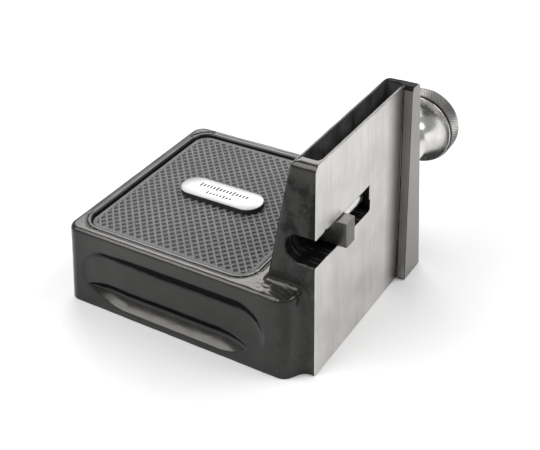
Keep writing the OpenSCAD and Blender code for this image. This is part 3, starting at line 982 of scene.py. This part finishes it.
def tick_marks(count, length, off_y):
    """Cutters for one row of marks, off_y from the plate's middle. Every fifth mark has the full length."""
    middle = (PLATE_LO + PLATE_HI)[:2] / 2
    depth = [(0, PLATE_HI[2] - 0.2), (0, PLATE_HI[2] + 0.5)]
    for i in range(count):
        centre = middle + ((i - (count - 1) / 2) * TICK_PITCH, off_y)
        share = 1.0 if i % 5 == 0 else 0.72
        half = np.array([TICK_WIDTH, length * share]) / 2
        yield loft(centre - half, centre + half, 0.2, depth, arc_steps=2)


def knurl(start, end):
    """Relief of a diamond knurl between two Y positions."""
    def relief(angle, y, r):
        turn, along = KNURL_TEETH * angle / (2 * math.pi), (y - start) / KNURL_PITCH
        ridge = np.minimum(*(1 - 2 * np.abs((turn + s * along) % 1 - 0.5) for s in (1, -1)))
        return r - np.where((y >= start) & (y <= end), KNURL_DEPTH * (1 - ridge), 0)
    return relief


def knob_bore(start, end):
    """Corners of the knob's bore, with the counterbore of its end screw, from its outer end inwards."""
    head_seat_y, head_hole_r = 75.4, 3.6
    shank_stop_y, shank_hole_r, screw_hole_r = 74.1, 2.52, 1.7
    return [
        (end, head_hole_r, 0.1), (head_seat_y, head_hole_r, 0.1), (head_seat_y, screw_hole_r, 0.05),
        (shank_stop_y, screw_hole_r, 0.05), (shank_stop_y, shank_hole_r, 0.05), (start, shank_hole_r, 0.1)]


def make_knob():
    """Trumpet-shaped knob with a polished flare, a lip, a groove and a knurled rim."""
    start, end = KNOB_LO[1], KNOB_HI[1]
    rim_start, lip_start = end - 5.35, end - 6.1
    neck_l, neck_r = 1.9, 4.4
    lip_w, lip_r, groove_r = 0.4, 10.6, 9.6
    flare_l, flare_h = 5.25, 5.9
    flare = [(start + neck_l + flare_l * math.sin(t), neck_r + flare_h * (1 - math.cos(t)))
             for t in np.linspace(0, math.pi / 2, 22)[:-1]]
    lip = soft_profile([
        (lip_start, lip_r - 0.3, 0), (lip_start, lip_r, 0.12), (lip_start + lip_w, lip_r, 0.12),
        (lip_start + lip_w, groove_r, 0.05), (rim_start, groove_r, 0.05)])[:-1]
    knurl_start, knurl_end = rim_start + 0.15, end - 0.2
    row_gap = KNURL_PITCH / 4
    rows = round((knurl_end - knurl_start) / row_gap)
    knurled = [(knurl_start + i * row_gap, KNOB_R) for i in range(rows)]
    side = [(rim_start, KNOB_R - 0.5), (rim_start + 0.1, KNOB_R - KNURL_DEPTH)]
    dish_y = end - 0.5
    end_face = soft_profile([
        (knurl_end, KNOB_R - 0.1, 0), (end, KNOB_R - 0.35, 0.1), (end, 8.2, 0.3), (dish_y, 7.4, 0.5),
        (dish_y, 4.4, 0.3), (end, 3.9, 0.2), *knob_bore(start, end), (start, neck_r, 0.25),
        (start + 1.5, neck_r, 0)])[:-1]
    profile = np.array(flare + lip.tolist() + side + knurled + end_face.tolist())
    shape = lathe(profile, 4 * KNURL_TEETH, closed=True, relief=knurl(knurl_start, knurl_end))
    piece = build("thumb_knob", *shape, KNOB_NICKEL, "feed_screw", "nickel", sharp_angle=26)
    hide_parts("knob")


def make_gland():
    """Flanged bush that carries the screw, with a turned groove round its head."""
    seat, end = GLAND_LO[1], GLAND_HI[1]
    head_r = (GLAND_HI[0] - GLAND_LO[0]) / 2
    seat_r, groove_r = GLAND_SEAT_R - 0.02, head_r - 0.3
    bore_r, chamber_r, chamber_end = 2.55, 4.0, seat + 4.0
    profile = soft_profile([
        (seat, chamber_r, 0.1), (seat, seat_r, 0.2), (BOSS_FACE_Y, seat_r, 0), (BOSS_FACE_Y, head_r, 0.3),
        (end - 2.0, head_r, 0.15), (end - 1.8, groove_r, 0.1), (end - 1.4, groove_r, 0.1),
        (end - 1.2, head_r, 0.15), (end, head_r, 0.5), (end, bore_r, 0.2), (chamber_end, bore_r, 0.05),
        (chamber_end, chamber_r, 0.1)])
    piece = build("gland", *lathe(profile, 96, closed=True), NICKEL, "base", "nickel", sharp_angle=35)
    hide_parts("gland_bush")


def make_draw_nut():
    """Smooth bright tube behind the jaw block."""
    start, end = NUT_LO[1], NUT_HI[1]
    bore_r, r = 2.0, (NUT_HI[2] - NUT_LO[2]) / 2
    profile = soft_profile([(start, bore_r, 0.1), (start, r, 0.3), (end, r, 0.4), (end, bore_r, 0.2)])
    tube = lathe(profile, 64, closed=True)
    piece = build("draw_tube", *tube, NICKEL, "moving_jaw", "nickel", sharp_angle=35)
    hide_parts("draw_nut")


def thread(start, end, pitch, depth, taper=1.2):
    """Relief of a vee thread between two Y positions, shallower over its first stretch, taper long."""
    def relief(angle, y, r):
        phase = (y / pitch - angle / (2 * math.pi)) % 1
        groove = depth * np.clip(1.25 * (1 - 2 * np.abs(phase - 0.5)) - 0.1, 0, 1)
        fade = np.clip((y - start) / taper, 0.4, 1)
        return r - np.where((y > start) & (y < end), groove * fade, 0)
    return relief


def make_lead_screw():
    """Threaded screw with its thrust flange, journal and shank."""
    tip, shank_end = SCREW_LO[1], SCREW_HI[1]
    flange, flange_end = 55.1, 57.3
    thread_r, neck_r, flange_r, journal_r = 1.95, 1.6, 3.8, 2.5
    threaded = [(y, thread_r) for y in np.arange(tip + 0.5, flange - 2.5, FEED_PITCH / 6)]
    plain = soft_profile([
        (flange - 2.3, neck_r, 0), (flange - 0.3, neck_r, 0.2), (flange, flange_r, 0.15),
        (flange_end, flange_r, 0.15), (flange_end, journal_r, 0), (66.0, journal_r, 0),
        (shank_end, journal_r, 0.3), (shank_end, 0.0, 0)])
    profile = [(tip, 0.0), (tip, 1.3), (tip + 0.3, 1.7)] + threaded + plain.tolist()
    shape = lathe(np.array(profile), 48, relief=thread(tip + 0.3, flange - 2.4, FEED_PITCH, 0.4))
    piece = build("feed_thread", *shape, ZINC, "feed_screw", "zinc_steel", sharp_angle=40)
    weld(piece)
    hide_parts("lead_screw")


def weld(piece):
    """Joins the coincident points at the ends of a turned piece."""
    shape = bmesh.new()
    shape.from_mesh(piece.data)
    bmesh.ops.remove_doubles(shape, verts=shape.verts[:], dist=1e-7)
    shape.to_mesh(piece.data)
    shape.free()


def jaw_field(x, y, z):
    """Steel block with a round back, a socket for the draw nut and a hole for its pin."""
    r = (JAW_HI[2] - JAW_LO[2]) / 2
    socket_y, socket_r = JAW_LO[1] + 1.2, 3.02
    pin_off, pin_r, pin_l = 2.85, 0.72, 5.9
    side = np.hypot(np.minimum(x - AXIS_X, 0), z - AXIS_Z) - r
    block = round_common(side, x - JAW_HI[0], GROUND_EDGE)
    block = round_common(block, slab(y, JAW_LO[1], JAW_HI[1]), GROUND_EDGE)
    block = carve(block, screw_cylinder(x, y, z, socket_r, socket_y, JAW_HI[1] + 1), 0.1)
    pin = np.hypot(x - AXIS_X - pin_off, y - (socket_y + JAW_HI[1]) / 2) - pin_r
    return carve(block, np.maximum(pin, z - JAW_LO[2] - pin_l), 0.05)


def make_jaw():
    """The moving jaw as a net."""
    stretches = [[(lo - 0.3, hi + 0.3, 0.17)] for lo, hi in zip(JAW_LO, JAW_HI)]
    points, faces = surface_net(jaw_field, stretches)
    piece = build("jaw_slider", points, faces.tolist(), JAW_STEEL, "moving_jaw", "ground_steel",
                  normals=normals_of(points, jaw_field))
    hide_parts("jaw_block")


def slotted_screw(head_r, head_t, length):
    """Points and faces of a cheese-head screw. Its head's outer face is at Z = 0, with the shank above."""
    slot_w, slot_depth = SCREWDRIVER_SLOT

    def field(x, y, z):
        r = np.hypot(x, y)
        head = round_common(r - head_r, slab(z, 0, head_t), 0.3)
        phase = (z / SMALL_SCREW_PITCH - np.arctan2(y, x) / (2 * math.pi)) % 1
        threaded = np.clip((z - head_t) / 0.5, 0, 1)
        groove = 0.22 * SMALL_SCREW_PITCH * (1 - 2 * np.abs(phase - 0.5)) * threaded
        shank = round_common(r - SMALL_SCREW_R + groove, slab(z, head_t - 0.5, head_t + length), 0.25)
        screw = round_union(head, shank, 0.15)
        return carve(screw, np.maximum(np.abs(x) - slot_w / 2, z - slot_depth), 0.1)

    reach = head_r + 0.3
    across = [(-reach, -0.7, 0.2), (-0.7, 0.7, 0.14), (0.7, reach, 0.2)]
    along = [(-0.3, head_t + 0.4, 0.14), (head_t + 0.4, head_t + length + 0.3, 0.14)]
    return surface_net(field, [across, across, along])


def make_pad_screws():
    """Four screws in the hollow underside."""
    head_t = 2.2
    length = PAD_SCREW_HI[2] - PAD_SCREW_LO[2] - head_t
    points, faces = slotted_screw(PAD_SCREW_HEAD_R, head_t, length)
    places = [np.array([hole_x, hole_y, PAD_SCREW_LO[2]]) for hole_x, hole_y in pad_screw_places()]
    all_points, all_faces = merged([(points + place, faces.tolist()) for place in places])
    piece = build("recess_screws", all_points, all_faces, ZINC, "base", "zinc_steel", sharp_angle=40)
    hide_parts("pad_screws")


def make_end_screw():
    """Screw that holds the knob on the lead screw's shank."""
    head_r, head_t = 3.4, 1.8
    length = KNOB_SCREW_HI[1] - KNOB_SCREW_LO[1] - head_t
    points, faces = slotted_screw(head_r, head_t, length)
    points = np.c_[points[:, 0] + AXIS_X, KNOB_SCREW_HI[1] - points[:, 2], AXIS_Z + points[:, 1]]
    piece = build("end_screw", points, faces.tolist(), ZINC, "feed_screw", "zinc_steel", sharp_angle=40)
    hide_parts("knob_screw")


def finish_cad_nodes():
    """Materials of the pieces that stay as the CAD made them, inside the tool."""
    for node, material in (("pad_inserts", BRASS), ("thrust_washers", BRASS), ("jaw_pin", ZINC)):
        for material_slot in frame["nodes"][node].material_slots:
            material_slot.material = material


make_casting()
make_pad()
make_plate()
make_knob()
make_gland()
make_draw_nut()
make_lead_screw()
make_jaw()
make_pad_screws()
make_end_screw()
finish_cad_nodes()


# ---------------- stage, light and camera

OBJECT_MIDDLE = Vector((0, 0, 0.03))

# Camera: angles in degrees, distances in metres, lens and sensor in millimetres
CAMERA_AZIMUTH = 33.31
CAMERA_ELEVATION = 34.48
CAMERA_ROLL = -2.87
CAMERA_DISTANCE = 0.2894
CAMERA_AIM = Vector((0.0058, -0.0050, 0.0203))
LENS = 65.7
SENSOR_WIDTH = 36.0


def direction(azimuth, elevation):
    """Unit vector from the object towards a place. Azimuth 0 is at -Y, and 90 at +X."""
    a, e = math.radians(azimuth), math.radians(elevation)
    return Vector((math.sin(a) * math.cos(e), -math.cos(a) * math.cos(e), math.sin(e)))


def make_floor():
    """Plain square floor under the object."""
    mesh = bpy.data.meshes.new("floor")
    half = 2.0
    corners = [(-half, -half, 0), (half, -half, 0), (half, half, 0), (-half, half, 0)]
    mesh.from_pydata(corners, [], [(0, 1, 2, 3)])
    floor = add_object("floor", mesh)
    mesh.materials.append(floor_look())


def soft_light(name, azimuth, elevation, size, power, distance=0.9):
    """Rectangular softbox that faces the object."""
    light = bpy.data.lights.new(name, "AREA")
    light.shape = "RECTANGLE"
    light.size, light.size_y = size
    light.energy = power
    lamp = add_object(name, light)
    towards = direction(azimuth, elevation)
    lamp.location = towards * distance + OBJECT_MIDDLE
    lamp.rotation_euler = towards.to_track_quat("Z", "Y").to_euler()


def make_world(strength):
    """Even white surroundings."""
    world = bpy.data.worlds.new("studio")
    world.use_nodes = True
    background = world.node_tree.nodes["Background"]
    background.inputs["Color"].default_value = (1, 1, 1, 1)
    background.inputs["Strength"].default_value = strength
    bpy.context.scene.world = world


def make_camera():
    """Camera at the photo's viewing angle, with the photo's slight roll."""
    data = bpy.data.cameras.new("camera")
    data.lens = LENS
    data.sensor_width = SENSOR_WIDTH
    data.clip_start = 0.01
    camera = add_object("camera", data)
    back = direction(CAMERA_AZIMUTH, CAMERA_ELEVATION)
    right = (-back).cross(Vector((0, 0, 1))).normalized()
    up = right.cross(-back)
    roll = math.radians(CAMERA_ROLL)
    tilted_right = right * math.cos(roll) + up * math.sin(roll)
    tilted_up = up * math.cos(roll) - right * math.sin(roll)
    turn = Matrix((tilted_right, tilted_up, back)).transposed()
    camera.matrix_world = Matrix.Translation(CAMERA_AIM + back * CAMERA_DISTANCE) @ turn.to_4x4()
    bpy.context.scene.camera = camera


make_floor()
make_world(strength=0.36)
soft_light("key", azimuth=-38, elevation=44, size=(0.9, 0.7), power=7.0)
soft_light("back", azimuth=213, elevation=36, size=(0.6, 0.35), power=2.8)
soft_light("side", azimuth=120, elevation=45, size=(0.6, 0.4), power=4.4)
make_camera()
bpy.context.scene.view_settings.view_transform = "Standard"
